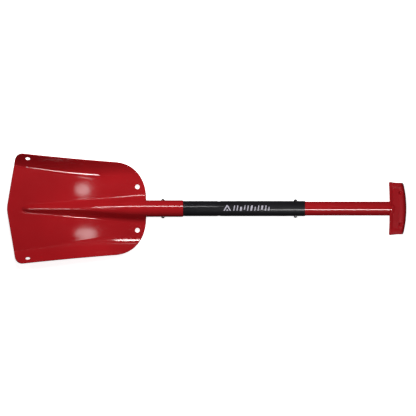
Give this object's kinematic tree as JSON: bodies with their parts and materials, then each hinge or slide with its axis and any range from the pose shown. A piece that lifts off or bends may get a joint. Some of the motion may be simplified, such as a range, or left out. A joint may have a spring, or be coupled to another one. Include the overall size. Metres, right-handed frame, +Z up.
{
  "type": "avalanche shovel",
  "caption": "Avalanche shovel: pressed metal scoop with curled sides and a ridge that swells into a socket, telescoping tube shaft locked by spring buttons, and a cross grip.",
  "frame": {"origin": "on the ground under the middle of the whole shovel", "axes": "+X along the shaft from the blade's tip to the grip, +Y across the blade, +Z up out of the blade's hollow face"},
  "size_m": [0.8128, 0.2226, 0.0566],
  "materials": {
    "red_paint": "gloss red anodised or powder coated",
    "black_anodised": "satin black anodised",
    "red_plastic": "satin",
    "bright_metal": "satin",
    "spring_steel": "satin",
    "button_steel": "satin"
  },
  "bodies": {
    "blade": {"blade": "red_paint"},
    "shaft": {"mid_shaft": "black_anodised", "lower_clip_spring": "spring_steel"},
    "handle": {"handle_tube": "red_paint", "t_grip": "red_plastic", "grip_rivet": "bright_metal", "upper_clip_spring": "spring_steel"},
    "lower_button_left": {"lower_button_left": "button_steel"},
    "lower_button_right": {"lower_button_right": "button_steel"},
    "upper_button_left": {"upper_button_left": "button_steel"},
    "upper_button_right": {"upper_button_right": "button_steel"}
  },
  "joints": [
    {"name": "shaft_slide", "type": "slide", "parent": "blade", "child": "shaft", "axis": [1, 0, 0], "range_m": [0, 0.085], "deforming": ["lower_clip_spring", "lower_button_left", "lower_button_right"]},
    {"name": "handle_slide", "type": "slide", "parent": "shaft", "child": "handle", "axis": [1, 0, 0], "range_m": [-0.1559, 0.075], "deforming": ["upper_clip_spring", "upper_button_left", "upper_button_right"]},
    {"name": "lower_left_press", "type": "slide", "parent": "shaft", "child": "lower_button_left", "axis": [0, -1, 0], "range_m": [0, 0.0046], "deforming": ["lower_clip_spring"]},
    {"name": "lower_right_press", "type": "slide", "parent": "shaft", "child": "lower_button_right", "axis": [0, 1, 0], "range_m": [0, 0.0046], "deforming": ["lower_clip_spring"]},
    {"name": "upper_left_press", "type": "slide", "parent": "handle", "child": "upper_button_left", "axis": [0, -1, 0], "range_m": [0, 0.0048], "deforming": ["upper_clip_spring"]},
    {"name": "upper_right_press", "type": "slide", "parent": "handle", "child": "upper_button_right", "axis": [0, 1, 0], "range_m": [0, 0.0048], "deforming": ["upper_clip_spring"]}
  ]
}
